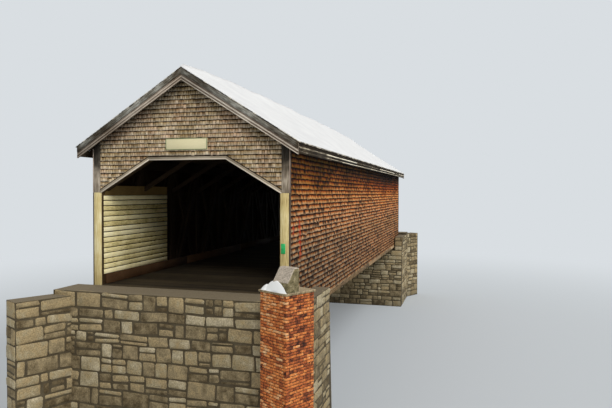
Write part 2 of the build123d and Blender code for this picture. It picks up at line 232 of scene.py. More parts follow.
side_lap = lap_shade_and_highlight(side_exposure, [(0.0, "#FFFFFF"), (0.36, "#FFF8EC"), (0.56, "#ECC090"), (0.74, "#9A6434"),
                                  (0.9, "#241204")], "#FFFFFF", 0.55, 0.12)
gable_lap = lap_shade_and_highlight(gable_exposure, [(0.0, "#FFFFFF"), (0.6, "#F6F2EC"), (0.8, "#D4C8B8"), (0.87, "#66563F"),
                                    (0.94, "#1C150E")], "#FFF6E6", 0.3, 0.05)
roof_lap = lap_shade_and_highlight(roof_exposure, [(0.0, "#FFFFFF"), (0.8, "#CCCCCC"), (1.0, "#4C4C4C")], "#C8BCA8", 0.2, 0.22)

# Tones of a side wall from its foot to its head, at the near end and towards the far end; the dark stops at
# the head are painted shade under the eave
near_tones = [(0.0, "#BCA68A"), (0.17, "#A3917A"), (0.34, "#B59F85"), (0.5, "#E4BC94"), (0.6, "#D8AC82"),
              (0.7, "#E4AC72"), (0.8, "#B07A38"), (0.85, "#8E5C24"), (0.9, "#825722"), (0.95, "#6E521F")]
far_tones = [(0.0, "#B6926C"), (0.2, "#D0A57E"), (0.4, "#D6AB7E"), (0.5, "#F2BA8A"), (0.6, "#F4B47A"),
             (0.7, "#FCB670"), (0.76, "#D88440"), (0.81, "#A85620"), (0.85, "#784216"), (0.89, "#4C2D0D"),
             (0.94, "#2D1A08")]
# Where along the wall the far tones hold in full
far_tones_from = 4.0
# Old drips of red paint near the near right corner: middle at the top, how far they run sideways
# for each metre of drop, half width, lowest and highest point
paint_marks = ((-11.8, 0.0, 0.08, 5.95, 6.4), (-11.25, 0.08, 0.1, 5.3, 6.55))


def side_wall_tones(tree, colour, vector, place):
    """Side shingles: painted shade under the eave, orange at eye level, most at the far end, grey at the
    foot.
    """
    split = add(tree, "SeparateXYZ", Vector=place)
    x, y, z = (split.outputs[axis] for axis in "XYZ")
    high = add(tree, "MapRange", Value=z, From_Min=wall_foot, From_Max=wall_head)
    waves = add(tree, "TexNoise", Vector=place, Scale=0.5, Detail=2.0)
    lift = add(tree, "MapRange", Value=waves, To_Min=-0.12, To_Max=0.12)
    level = add(tree, "Math", "ADD", i0=high, i1=lift)
    near = add(tree, "ValToRGB", near_tones, Fac=level)
    far = add(tree, "ValToRGB", far_tones, Fac=level)
    along = add(tree, "MapRange", Value=y, From_Min=wall_end, From_Max=far_tones_from)
    zone = add(tree, "Mix", colours, i0=along, i6=near, i7=far).outputs[2]
    # The lap's painted highlight and painted shadow, with its bleaching and dirt
    worn = side_lap(tree, colour, vector, place)
    colour = add(tree, "Mix", darkening, i0=1.0, i6=zone, i7=worn).outputs[2]
    drips = add(tree, "TexNoise", Vector=place, Scale=7.0, Detail=3.0)
    wander = add(tree, "MapRange", Value=drips, To_Min=-0.16, To_Max=0.16)
    right = add(tree, "Math", "GREATER_THAN", i0=x, i1=0.0)
    for middle, lean, half, low, high in paint_marks:
        off = add(tree, "Math", "MULTIPLY_ADD", i0=z, i1=lean, i2=y)
        off = add(tree, "Math", "SUBTRACT", i0=off, i1=middle + lean * high)
        off = add(tree, "Math", "ADD", i0=off, i1=wander)
        off = add(tree, "Math", "ABSOLUTE", i0=off)
        inside = add(tree, "MapRange", Value=off, From_Min=half, From_Max=0.3 * half, To_Max=0.7)
        above = add(tree, "MapRange", Value=z, From_Min=low, From_Max=low + 0.15)
        below = add(tree, "MapRange", Value=z, From_Min=high, From_Max=high - 0.15)
        band = add(tree, "Math", "MULTIPLY", i0=above, i1=below)
        band = add(tree, "Math", "MULTIPLY", i0=band, i1=right)
        mark = add(tree, "Math", "MULTIPLY", i0=inside, i1=band)
        colour = add(tree, "Mix", colours, i0=mark, i6=colour, i7="#C23A1C").outputs[2]
    return colour


def shade_and_dirt_under_roof(tree, colour, place):
    """Painted shade of the roof's overhang, with damp and dirt, darkens what lies close under its slopes."""
    split = add(tree, "SeparateXYZ", Vector=place)
    out = add(tree, "Math", "ABSOLUTE", i0=split.outputs["X"])
    level = add(tree, "Math", "MULTIPLY_ADD", i0=out, i1=slope, i2=split.outputs["Z"])
    waves = add(tree, "TexNoise", Vector=place, Scale=5.0, Detail=3.0)
    lift = add(tree, "MapRange", Value=waves, To_Min=-0.12, To_Max=0.12)
    level = add(tree, "Math", "ADD", i0=level, i1=lift)
    dark = add(tree, "MapRange", Value=level, From_Min=roof_apex - 0.18, From_Max=roof_apex - 0.8, To_Min=0.3,
               To_Max=1.0)
    return add(tree, "Mix", darkening, i0=1.0, i6=colour, i7=dark).outputs[2]


def gable_tones(tree, colour, vector, place):
    """Gable shingles: rosy and olive patches, and painted shade with dirt close under the roof."""
    patches = add(tree, "TexNoise", Vector=place, Scale=1.6, Detail=2.0)
    tint = add(tree, "ValToRGB", [(0.35, "#F4EAD2"), (0.5, "#FFFAF2"), (0.65, "#FFECE2")], Fac=patches)
    tinted = add(tree, "Mix", darkening, i0=1.0, i6=colour, i7=tint).outputs[2]
    return shade_and_dirt_under_roof(tree, gable_lap(tree, tinted, vector, place), place)


def mould_and_shade_under_eave(low, high, least):
    """Boards darkened where the roof shelters them from the sun: mould, with painted shade of the roof."""
    def extra(tree, colour, vector, place):
        split = add(tree, "SeparateXYZ", Vector=place)
        wander = add(tree, "TexNoise", Vector=place, Scale=6.0, Detail=3.0)
        lift = add(tree, "MapRange", Value=wander, To_Min=-0.25, To_Max=0.25)
        level = add(tree, "Math", "ADD", i0=split.outputs["Z"], i1=lift)
        dark = add(tree, "MapRange", Value=level, From_Min=low, From_Max=high, To_Min=1.0, To_Max=least)
        return add(tree, "Mix", darkening, i0=1.0, i6=colour, i7=dark).outputs[2]
    return extra


def painted_shade_beside_shingles(tree, colour, vector, place):
    """The narrow front edge keeps its tone; the face beside the shingles is darkened as painted shade."""
    normal = add(tree, "NewGeometry").outputs["True Normal"]
    split = add(tree, "SeparateXYZ", Vector=normal)
    aside = add(tree, "Math", "ABSOLUTE", i0=split.outputs["X"])
    dark = add(tree, "MapRange", Value=aside, From_Min=0.3, From_Max=0.7, To_Min=0.9, To_Max=0.28)
    return add(tree, "Mix", darkening, i0=1.0, i6=colour, i7=dark).outputs[2]


# Sawn softwood shingles, gone grey-brown on the gables; grain and splits run upright
gable_shingle = wood("weathered_cedar_shingle", ["#6C5A44", "#B09C78", "#DECAAC", "#FFF4DE"], streak=0.015,
                     coords="shingle", contrast=1.6, depth=0.004, each=0.2, extra=gable_tones)
# The same shingles on the sides, still red-brown and orange where the eave keeps the rain off, with painted
# shade close under it
side_shingle = wood("sun_browned_cedar_shingle", ["#646464", "#B4B4B4", "#F2F2F2", "#FFFFFF"], streak=0.014,
                    coords="shingle", contrast=2.0, depth=0.004, each=0.5, extra=side_wall_tones)
# Roof shingles: wet and dark under the snow, with paler sawn ends
roof_shingle = wood("wet_roof_shingle", ["#16130F", "#302A22", "#5C5242", "#E6DCC8"], streak=0.02,
                    coords="shingle", depth=0.004, contrast=2.2, each=0.6, extra=roof_lap)
# Split laths along the eaves, bleached pale
eave_lath = wood("bleached_lath", ["#4A4032", "#A89C86", "#CCC0A8", "#ECE2CC"], streak=0.03, contrast=2.0)
# The outer boards of the rakes: old stain almost black, worn through to grey in broad streaks
dark_rake_board = wood("dark_rake_board", ["#17110A", "#3A3022", "#6C685E", "#B0AEA4"], streak=0.022,
                       contrast=2.4, depth=0.004, each=0.6)
# Boards that splashed water keeps damp: dark brown with little contrast; also the painted shadow strip over
# the portal trim
dark_foot_board = wood("dark_foot_board", ["#1C130C", "#3C3126", "#52463A", "#705F4E"], streak=0.03)
# The inner boards of the rakes: bare pine gone a rosy grey
rosy_board = wood("rosy_grey_board", ["#30251A", "#5E4E3E", "#85776A", "#B8AA9A"], streak=0.032, contrast=1.8,
                  each=0.6)
# Mouldings that stand in the weather: pale grey, with fine grain
moulding_board = wood("pale_moulding", ["#6C6052", "#988A7A", "#B8AC9C", "#DCD2C2"], streak=0.02,
                      contrast=1.6, depth=0.002, each=0.6)
# The narrow boards on the sides: ruddy old stain, with painted shade on the face beside the shingles
ruddy_board = wood("ruddy_edge_board", ["#3C2E24", "#806C5C", "#A08C7C", "#C4B2A2"], streak=0.03,
                   contrast=2.0, extra=painted_shade_beside_shingles)
# Planed laths round the portals: pale, each with a tone of its own
trim_board = wood("pale_trim_board", ["#594C3D", "#80715A", "#A69984", "#D0C3B0"], streak=0.02, contrast=1.3,
                  depth=0.002, each=0.75)
# Old corner boards: grey-brown with raised grain, black under the roof with mould and painted shade
old_corner_board = wood("old_corner_board", ["#2E241A", "#746654", "#988A78", "#C8BAA6"], streak=0.036,
                        contrast=2.2, depth=0.004,
                        extra=mould_and_shade_under_eave(portal_spring + 0.34, portal_spring + 0.86, 0.14))
# Eave boards in the drip of the roof: almost black with damp, and partly as painted shade under the roof's
# edge
eave_board = wood("dark_eave_board", ["#0E0B08", "#1C1711", "#2C251C", "#5A4E3E"], streak=0.02, contrast=1.5,
                  depth=0.004)
# New pine boards, not yet weathered: yellow with brown grain
new_board = wood("new_pine_board", ["#84663C", "#BEA972", "#D2C08A", "#E4D8AC"], streak=0.03, contrast=1.7,
                 depth=0.001, roughness=0.65)
# Skirt boards: newer than the shingles, tan and streaked by run-off
skirt_board = wood("pale_skirt_board", ["#4E3C28", "#7E6749", "#94795A", "#AC9474"], streak=0.03,
                   contrast=1.8)
# Whitewashed boards inside the portals: cream, thin where it has been rubbed
lime_board = wood("limewashed_board", ["#8C7840", "#DECC8E", "#F6E8B4", "#FFF4CC"], streak=0.012, depth=0.002,
                  contrast=1.3, blotch=0.5, each=0.25)
# Bands over the linings: bare pine, yellow-brown
brown_board = wood("brown_board", ["#443616", "#6A5530", "#826A3E", "#9A8250"], coords="object",
                   turn=(0, 0, pi / 2), depth=0.002)
# Curbs: brown and scuffed, with open grain
curb_wood = wood("dark_curb_timber", ["#2A1B10", "#46301D", "#573E28", "#6A5037"], depth=0.004)
# Deck planks: dark with wear and damp, and darker still as painted shade inside the bridge, their grain fine
plank_wood = wood("worn_and_shaded_deck_plank", ["#1C1711", "#2F271D", "#3D3425", "#4E4333"], depth=0.004, streak=0.01)

# Sawn timber of the frame, dark with age and darker still as painted shade of the unlit inside; each
# material's grain runs the way that its members lie
timber_tones = ["#120D08", "#261C12", "#35281B", "#4A3A2A"]
brace_lean = radians(67)
timber_lies = {
    "upright": ((0, -pi / 2, 0), None),
    "along": ((0, 0, pi / 2), None),
    "across": ((0, 0, 0), None),
    "leaning": ((brace_lean, 0, pi / 2), "Y"),
    "counter": ((-brace_lean, 0, pi / 2), "Y"),
    "rafter": ((0, pitch, 0), "X"),
    "knee": ((0, radians(30), 0), "X"),
}
timber = {}
for word, (turn, fold) in timber_lies.items():
    timber[word] = wood(f"sawn_timber_{word}", timber_tones, coords="object", turn=turn, fold=fold,
                        depth=0.004)

# Rough boards behind the shingles and under the roof, one above the other: dark, partly as painted shade of
# the unlit inside, with open joints
rough_board = {"coords": "object", "board_width": 0.19, "depth": 0.006}
sheathing = wood("rough_sheathing_board", ["#120A05", "#24150B", "#342010", "#44301C"],
                 turn=(pi / 2, 0, pi / 2), **rough_board)
roof_boards = wood("rough_roof_board", ["#130E09", "#261D13", "#35291B", "#463826"], fold="X",
                   turn=(pitch, 0, pi / 2), **rough_board)
gable_boards = wood("rough_gable_board", ["#2B1F14", "#43321F", "#55412A", "#665138"], turn=(pi / 2, 0, 0),
                    **rough_board)
# Oil paint on a planed board: even cream and smooth, its grain all but filled
cream_paint = wood("cream_painted_board", ["#CDBF90", "#E0D4A8", "#E8DEB6", "#F0E8C8"], depth=0.0008,
                   roughness=0.55, contrast=0.7)
# The same in green on the narrow strip round it
green_edge = wood("green_painted_strip", ["#3E5A3A", "#4C6B45", "#5A7A52", "#6C8A62"], depth=0.0008,
                  roughness=0.6)


def masonry(name, tones, grain, spots, depth, roughness=0.9, damp=0.0, bleached=None, worn=None):
    """Stone, brick, mortar or concrete: each block's own tone, mottled and pitted.

    Grain and spots are the widths of a pit and of a mottle. Damp is how dark it is at its
    foot, bleached the tone of what faces up, and worn the tone of rounded edges.
    """
    def make(tree):
        place = add(tree, "TexCoord").outputs["Object"]
        shade = add(tree, "Attribute", {"attribute_name": "shade"}).outputs["Fac"]
        cloud = add(tree, "TexNoise", Vector=place, Scale=1 / spots, Detail=4.0, Roughness=0.65)
        bold = add(tree, "MapRange", Value=cloud, From_Min=0.3, From_Max=0.7)
        mixed = add(tree, "Mix", numbers, i0=0.4, i2=shade, i3=bold)
        stops = [(0.15 + 0.7 * i / (len(tones) - 1), tone) for i, tone in enumerate(tones)]
        colour = add(tree, "ValToRGB", stops, Fac=mixed).outputs[0]
        pits = add(tree, "TexNoise", Vector=place, Scale=1 / grain, Detail=5.0, Roughness=0.7)
        if worn:
            edge = add(tree, "MapRange", Value=shade, From_Min=0.6, From_Max=0.9, To_Max=0.8)
            colour = add(tree, "Mix", colours, i0=edge, i6=colour, i7=worn).outputs[2]
        if bleached:
            normal = add(tree, "NewGeometry").outputs["True Normal"]
            split = add(tree, "SeparateXYZ", Vector=normal)
            light = add(tree, "MapRange", Value=split.outputs["Z"], From_Min=0.1, From_Max=0.4, To_Max=0.7)
            colour = add(tree, "Mix", colours, i0=light, i6=colour, i7=bleached).outputs[2]
        # Darker where the bump's pits lie low, and lighter on their rims
        darker_in_pits = add(tree, "MapRange", Value=pits, From_Min=0.34, From_Max=0.62, To_Min=0.5, To_Max=1.15)
        colour = add(tree, "Mix", darkening, i0=1.0, i6=colour, i7=darker_in_pits).outputs[2]
        if damp:
            split = add(tree, "SeparateXYZ", Vector=place)
            wet = add(tree, "MapRange", Value=split.outputs["Z"], From_Min=0.0, From_Max=1.2, To_Min=damp,
                      To_Max=0.0)
            colour = add(tree, "Mix", colours, i0=wet, i6=colour, i7="#2E2A20").outputs[2]
        return colour, pits.outputs[0], depth
    return finished(name, make, roughness, specular=0.3)


# Field stone laid in mortar: ochre, grey and green-grey, damp and dark at the foot
field_stone = masonry("field_stone", ["#54462E", "#75664A", "#8F7F60", "#A28E68", "#A09272", "#B8AA8C"],
                      grain=0.03, spots=0.25, depth=0.012, damp=0.45)
# Lime mortar between the stones: sandy brown, washed pale on top
lime_mortar = masonry("lime_mortar", ["#4C4230", "#5E5440", "#70644C", "#80745C"], grain=0.012, spots=0.3,
                      depth=0.006, roughness=0.95, damp=0.45, bleached="#8C7E66")
# Common red brick: orange-red, burnt dark here and there
red_brick = masonry("common_red_brick", ["#3A1C10", "#8A4524", "#BC6632", "#DE8A48", "#E0B080"], grain=0.03,
                    spots=0.12, depth=0.003, roughness=0.85)
# Sandy mortar between the bricks, dark in its recesses
brick_mortar = masonry("brick_mortar", ["#2A2018", "#4E402F", "#6E5E4A"], grain=0.006, spots=0.15,
                       depth=0.003, roughness=0.95)
# The cast cap: yellow-brown concrete, its arrises rubbed pale
cast_cap = masonry("cast_concrete", ["#6A5A42", "#988664", "#BCAA8A", "#DCCCB0"], grain=0.03, spots=0.12,
                   depth=0.004, bleached="#AE9A7C", worn="#D4C2A2")
# The block on it: greyer concrete, lichened on its sides and almost white at its edges
block_concrete = masonry("weathered_block_concrete", ["#544C30", "#847858", "#AA9E82", "#C8BEA6"],
                         grain=0.03, spots=0.1, depth=0.005, bleached="#CCBEB0", worn="#FFF8E8")


def crusted(name, shaded, lit):
    """Old snow: matt, in soft swells of two tones under a fine crust."""
    def make(tree):
        place = add(tree, "TexCoord").outputs["Object"]
        swell = add(tree, "TexNoise", Vector=place, Scale=1.4, Detail=3.0, Roughness=0.5)
        colour = add(tree, "ValToRGB", [(0.3, shaded), (0.7, lit)], Fac=swell)
        crust = add(tree, "TexNoise", Vector=place, Scale=22.0, Detail=4.0, Roughness=0.6)
        return colour, crust, 0.008
    return finished(name, make, roughness=0.75, specular=0.2)


# Snow that has settled on the roof: a matt white, a little grey
snow = crusted("settled_snow", "#D6D6D6", "#E0E0DF")
# Snow heaped on the cap, whiter as painted light, since its face gets less of the lamps
heaped_snow_painted_light = crusted("heaped_snow_painted_light", "#F2F2F0", "#FAFAF8")


def faded_green(tree):
    """Enamel faded in patches, with faint dents."""
    place = add(tree, "TexCoord").outputs["Object"]
    fade = add(tree, "TexNoise", Vector=place, Scale=14.0, Detail=3.0)
    colour = add(tree, "ValToRGB", [(0.35, "#0F9A4E"), (0.65, "#27B865")], Fac=fade)
    dents = add(tree, "TexNoise", Vector=place, Scale=60.0, Detail=2.0)
    return colour, dents, 0.0004


# Enamelled steel: clear green, a little shine
enamel = finished("green_enamel", faded_green, roughness=0.35, specular=0.5)


# Making pieces

def sliced_cube(bevel, segments=1):
    """A bevelled cube as corner signs and offsets, so that it stretches without stretching its edges."""
    bm = bmesh.new()
    bmesh.ops.create_cube(bm, size=2)
    if bevel:
        bmesh.ops.bevel(bm, geom=bm.edges[:], offset=bevel, segments=segments, profile=0.5, affect="EDGES",
                        material=-1)
    points = np.array([v.co for v in bm.verts])
    faces = [[v.index for v in f.verts] for f in bm.faces]
    bm.free()
    signs = np.sign(points)
    return signs, points - signs, faces


thin_box = sliced_cube(0)
plate_box = sliced_cube(0.002)
board_box = sliced_cube(0.003)
brick_box = sliced_cube(0.004)
beam_box = sliced_cube(0.008)
stone_box = sliced_cube(0.05, 2)
# The grain of each block starts at a place of its own within this length of timber
grain_length = 60
# A block whose half size is under this is roughened less
rough_size = 0.25


def joined_mesh(name, base, rows, taper=1.0, rough=0.0, seed=0):
    """Many blocks in one mesh. A row is centre, half sizes, turn as a 3x3 matrix, and shade.

    The UV map runs along each block's first side from a place of its own, and up its second.
    """
    signs, offsets, faces = base
    random = np.random.default_rng(seed)
    centres, halves, turns, shades = (np.array([row[k] for row in rows], float) for k in range(4))
    count, corners = len(rows), len(signs)
    local = signs[None] * halves[:, None] + offsets[None]
    if taper != 1:
        tip = signs[:, 1] > 0
        local[:, tip, 2] = (local[:, tip, 2] + halves[:, None, 2]) * taper - halves[:, None, 2]
    if rough:
        share = np.minimum(halves / rough_size, 1)[:, None]
        local = local + random.uniform(-rough, rough, local.shape) * share
    points = np.einsum("nij,nvj->nvi", turns, local) + centres[:, None]
    points[..., 2] = np.maximum(points[..., 2], 0)
    loops = np.array([v for f in faces for v in f])
    sizes = np.array([len(f) for f in faces])
    mesh = bpy.data.meshes.new(name)
    mesh.vertices.add(count * corners)
    mesh.vertices.foreach_set("co", points.ravel().astype(np.float32))
    mesh.loops.add(count * len(loops))
    index = (loops[None] + corners * np.arange(count)[:, None]).ravel()
    mesh.loops.foreach_set("vertex_index", index.astype(np.int32))
    mesh.polygons.add(count * len(sizes))
    starts = np.concatenate([[0], np.cumsum(np.tile(sizes, count))[:-1]])
    mesh.polygons.foreach_set("loop_start", starts.astype(np.int32))
    mesh.update(calc_edges=True)
    offset = random.uniform(0, grain_length, count)
    u = local[:, :, 0] + offset[:, None]
    v = local[:, :, 1] + halves[:, None, 1] + local[:, :, 2] + halves[:, None, 2]
    flat = np.stack([u, v], axis=2)[:, loops].reshape(-1, 2)
    mesh.uv_layers.new(name="UVMap").data.foreach_set("uv", flat.ravel().astype(np.float32))
    shade = mesh.attributes.new("shade", "FLOAT", "FACE")
    shade.data.foreach_set("value", np.repeat(shades, len(sizes)).astype(np.float32))
    return mesh


def as_mesh(bm, name, smooth=False):
    """A bmesh as a new mesh."""
    mesh = bpy.data.meshes.new(name)
    bm.to_mesh(mesh)
    bm.free()
    if smooth:
        for polygon in mesh.polygons:
            polygon.use_smooth = True
    return mesh


def merged(meshes):
    """Several meshes as one."""
    bm = bmesh.new()
    for mesh in meshes:
        bm.from_mesh(mesh)
    return as_mesh(bm, "merged")


def cut(mesh, point, normal):
    """Cut away what lies on the normal's side of a plane, and close the ends."""
    bm = bmesh.new()
    bm.from_mesh(mesh)
    made = bmesh.ops.bisect_plane(bm, geom=bm.verts[:] + bm.edges[:] + bm.faces[:], dist=1e-6,
                                  plane_co=point, plane_no=normal, clear_outer=True)
    edges = [e for e in made["geom_cut"] if isinstance(e, bmesh.types.BMEdge)]
    bmesh.ops.holes_fill(bm, edges=edges, sides=0)
    bm.to_mesh(mesh)
    bm.free()
    return mesh


def cut_under_roof(mesh):
    """Cut a mesh 2 mm clear of the underside of the roof, on both slopes."""
    for side in (-1, 1):
        cut(mesh, (0, 0, roof_under(0) - 0.002), (side * sin(pitch), 0, cos(pitch)))
    return mesh


def as_piece(name, mesh, material, replaces=()):
    """Add a mesh to the bridge, in place of the solids that it replaces."""
    mesh.name = name
    piece = bpy.data.objects.new(name, mesh)
    scene.collection.objects.link(piece)
    mesh.materials.clear()
    mesh.materials.append(material)
    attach(piece, "root")
    if replaces:
        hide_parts(*replaces)
    return piece


def block_piece(name, base, rows, seed, material, slot, replaces=(), **shaping):
    """A piece that is made of many blocks."""
    return as_piece(name, joined_mesh(name, base, rows, seed=seed, **shaping), material, replaces)


def facing(out, up=UP):
    """A turn whose third side is out, second is up, and first runs along."""
    out, up = Vector(out).normalized(), Vector(up).normalized()
    return np.array([up.cross(out), up, out]).T


def board(start, end, out, width, thickness, shade=0.5):
    """A board between two points on its middle line, its face turned outwards."""
    start, end, out = Vector(start), Vector(end), Vector(out).normalized()
    along = (end - start).normalized()
    turn = np.array([along, out.cross(along), out]).T
    return (start + end) / 2, ((end - start).length / 2, width / 2, thickness / 2), turn, shade


# Shingles: each course is this many times as high as what shows of it
lap = 1.16
# A course strays up and down by this much, and this share of its shingles hangs lower still
course_wander = 0.004
low_share = 0.03
# A row ends where less than this is left of it
least_width = 0.01
# The more ragged the courses, the more their shingles turn: radians for each metre
turn_for_ragged = 2.4


def shingle_rows(random, origin, turn, along, up, exposure, widths, butts, ragged, gaps=(0.003, 0.008),
                 rise=0.0, even_foot=True):
    """Courses of shingles on one face, from the lowest up.

    Along and up are the stretches that they cover from the origin. The width, the thickness of the
    butt and the gap of each are drawn from ranges. Ragged is how far a shingle strays from its
    line, and rise how far the courses lie above the face.
    """
    rows = []
    courses = ceil((up[1] - up[0]) / exposure)
    step = (up[1] - up[0]) / courses
    for course in range(courses):
        low = up[0] + course * step
        wander = random.uniform(-course_wander, course_wander)
        at = along[0]
        while at < along[1] - least_width:
            width = random.uniform(*widths)
            if along[1] - at - width < widths[0]:
                width = along[1] - at
            drop = random.uniform(-ragged, ragged) + wander
            if random.random() < low_share:
                drop -= random.uniform(1, 3) * ragged
            if course == 0 and even_foot:
                drop = 0
            thick = random.uniform(*butts)
            height = step * lap if course < courses - 1 else step
            spin = random.uniform(-turn_for_ragged, turn_for_ragged) * ragged
            local = Vector((at + width / 2, low + drop + height / 2, thick / 2 + rise))
            centre = Vector(origin) + Vector(turn @ np.array(local))
            spun = turn @ np.array(Matrix.Rotation(spin, 3, "Z"))
            gap = random.uniform(*gaps)
            rows.append((centre, ((width - gap) / 2, height / 2, thick / 2), spun, random.random()))
            at += width
    return rows


# Side walls, from the skirt to the eaves. The shingles start this far below the skirt's top, and stop
# this far short of the gables' faces, behind the narrow boards there
below_skirt_top = 0.005
short_of_gable = 0.035
side_random = np.random.default_rng(11)
reach = -gable_face - short_of_gable
for side, word in sides:
    rows = shingle_rows(side_random, (side * side_face, 0, 0), facing((side, 0, 0)), (-reach, reach),
                        (skirt_high.z - below_skirt_top, wall_head), side_exposure, widths=(0.06, 0.16),
                        butts=(0.018, 0.036), ragged=0.011, gaps=(0.01, 0.03))
    block_piece(f"{word}_wall_shingles", thin_box, rows, 12, side_shingle, "wall_shingle", taper=0.18)

# Gables: the shingles run in behind the trim to this far from the opening, behind the corner boards to
# this far past the jambs, and down to this far below the portal's spring
from_opening = 0.045
past_jamb = 0.12
below_spring = 0.04
gable_random = np.random.default_rng(21)
haunch = Vector((jamb - portal_head_half, 0, portal_spring - opening_head)).normalized()
haunch_out = Vector((-haunch.z, 0, haunch.x))
trim_line = Vector((portal_head_half, 0, opening_head)) + haunch_out * from_opening
head_line = portal_head - trim_width / 2
reach = jamb + past_jamb
# A shingle counts when its middle is no further than this below the trim's line, and its foot no
# further than this over the underside of the roof
below_trim = 0.16
over_roof = 0.1
for end, word in ends:
    rows = shingle_rows(gable_random, (0, end * -gable_face, 0), facing((0, end, 0)), (-reach, reach),
                        (portal_spring - below_spring, roof_under(0)), gable_exposure, widths=(0.04, 0.11),
                        butts=(0.01, 0.018), ragged=0.006, gaps=(0.004, 0.014))
    groups = {-1: [], 0: [], 1: []}
    for row in rows:
        x, z, half = row[0].x, row[0].z, row[1][1]
        if z - half > roof_under(x) + over_roof:
            continue
        if abs(x) > portal_head_half:
            if (Vector((abs(x), 0, z)) - trim_line).dot(haunch_out) > -below_trim:
                groups[-1 if x < 0 else 1].append(row)
        elif z + half > head_line:
            groups[0].append(row)
    parts = []
    for side, members in groups.items():
        mesh = joined_mesh("shingles", thin_box, members, taper=0.2, seed=22)
        if side:
            cut(mesh, (side * trim_line.x, 0, trim_line.z), (-side * haunch_out.x, 0, -haunch_out.z))
        else:
            cut(mesh, (0, 0, head_line), (0, 0, -1))
        parts.append(mesh)
    as_piece(f"{word}_gable_shingles", cut_under_roof(merged(parts)), gable_shingle)

# Roof: shingles under the snow, over one starter course, which overhangs the eaves by this much and
# reaches this far up the slope
eave_overhang = 0.035
starter_reach = 0.13
starter_exposure = 0.2
# The other courses hang this far over it, lie this high over the roof boards, and stop this far short
# of the ridge. All of them overhang the gable ends
over_starter = 0.01
course_rise = 0.012
short_of_ridge = 0.19
past_gable = 0.02
roof_random = np.random.default_rng(31)
slope_length = roof_half / cos(pitch)
eave_line = -slope_length - eave_overhang
starter_top = -slope_length + starter_reach
roof_look = {"widths": (0.09, 0.2), "ragged": 0.016, "even_foot": False}
reach = roof_end + past_gable
for side, word in sides:
    turn = facing((side * sin(pitch), 0, cos(pitch)), (-side * cos(pitch), 0, sin(pitch)))
    slope_of_roof = (roof_random, (0, 0, roof_apex), turn, (-reach, reach))
    rows = shingle_rows(*slope_of_roof, (eave_line, starter_top), starter_exposure, butts=(0.016, 0.02),
                        **roof_look)
    rows += shingle_rows(*slope_of_roof, (eave_line - over_starter, -short_of_ridge), roof_exposure,
                         butts=(0.012, 0.02), rise=course_rise, **roof_look)
    block_piece(f"{word}_roof_shingles", thin_box, rows, 32, roof_shingle, "roof_shingle", taper=0.3)


# Boards at the gables
rake_thickness = 0.028
rake_foot = 0.318
# The two boards of a rake: material, top and foot below the roof's upper face, and place along Y
rake_boards = {
    "fascias": (dark_rake_board, 0.0, 0.15, roof_end + rake_thickness / 2),
    "boards": (rosy_board, roof_thickness / cos(pitch), 0.32, roof_end - rake_thickness / 2),
}
# Two mouldings on them: top and foot likewise, and how far they stand out
mouldings = ((0.203, 0.243, 0.014), (0.288, rake_foot, 0.02))
# Their shades by side times end: the near right and the far left slope have the paler boards
rake_shades = {-1: 0.54, 1: 0.5}
moulding_shades = {-1: 0.66, 1: 0.46}
# A sloping board is this much longer at each end before it is cut plumb
rake_spare = 0.3
# The strip that closes a rake at its foot: how thick it is, how far its middle lies back, and its shade
strip_thickness, strip_back, strip_shade = 0.012, 0.006, 0.3


def rake_board(side, end, y, top, foot, thickness, shade, seed):
    """A board along one slope of a gable, with plumb ends at the apex and the eave."""
    middle, reach = (top + foot) / 2, roof_half + rake_spare
    start = Vector((-side * rake_spare, end * y, roof_apex - middle + slope * rake_spare))
    finish = Vector((side * reach, end * y, roof_apex - middle - slope * reach))
    row = board(start, finish, (0, end, 0), (foot - top) * cos(pitch), thickness, shade)
    low, high = sorted((0.0, side * roof_half))
    mesh = cut(joined_mesh("rake", board_box, [row], seed=seed), (low, 0, 0), (-1, 0, 0))
    return cut(mesh, (high, 0, 0), (1, 0, 0))


def plumb_end(side, end):
    """The narrow upright strip that closes a rake at the eave."""
    x, y = side * (roof_half + strip_thickness / 2), end * (roof_end - strip_back)
    high = roof_top(roof_half)
    row = board((x, y, high - rake_foot), (x, y, high), (side, 0, 0), rake_thickness, strip_thickness,
                strip_shade)
    return joined_mesh("plumb end", board_box, [row], seed=48)


# Portal trim: two laths and a dark strip of painted shadow in the gap over them, each as the distances from
# the opening between which it runs, how far it stands out, and its shade
edge_lath = (0.0, 0.036, 0.004, 0.9)
inner_lath = (0.036, trim_width, 0.0, 0.55)
painted_shadow_band = (trim_width, trim_width + 0.026, -0.006, 0.0)
mitre = (UP + haunch_out).normalized()
# The bands are this much thinner than the trim's solid. Before they are cut the one over the head is
# this long, and those down the haunches run on by this much at each end
trim_recess = 0.008
uncut_head = 3.0
haunch_spare = 0.2


def trim_band(end, y, thickness, low, high, proud, shade):
    """One band of a portal's trim: over the head and down both haunches, mitred where they meet."""
    middle, out = (low + high) / 2, (0, end, 0)
    y += end * proud
    start = (-uncut_head / 2, y, opening_head + middle)
    finish = (uncut_head / 2, y, opening_head + middle)
    head = joined_mesh("head", board_box, [board(start, finish, out, high - low, thickness, shade)], seed=44)
    meshes = [head]
    for side in (-1, 1):
        knee = Vector((side * portal_head_half, y, opening_head))
        over = Vector((side * mitre.z, 0, -mitre.x))
        cut(head, knee, over)
        shift = Vector((side * haunch_out.x, 0, haunch_out.z)) * middle
        spring = Vector((side * jamb, y, portal_spring))
        spare = (spring - knee).normalized() * haunch_spare
        row = board(spring + spare + shift, knee - spare + shift, out, high - low, thickness, shade)
        sloping = cut(joined_mesh("sloping", board_box, [row], seed=45 + side), knee, -over)
        meshes.append(cut(sloping, (side * old_inner, 0, 0), (side, 0, 0)))
    return meshes


# Corner boards: the old ones over the newer feet, which reach further in, and narrow ones on the sides
old_inner = jamb + 0.048
new_inner = jamb + 0.014
narrow_width = 0.07
# Boards that meet at the spring of the portal stop about this far from it
meeting = 0.001
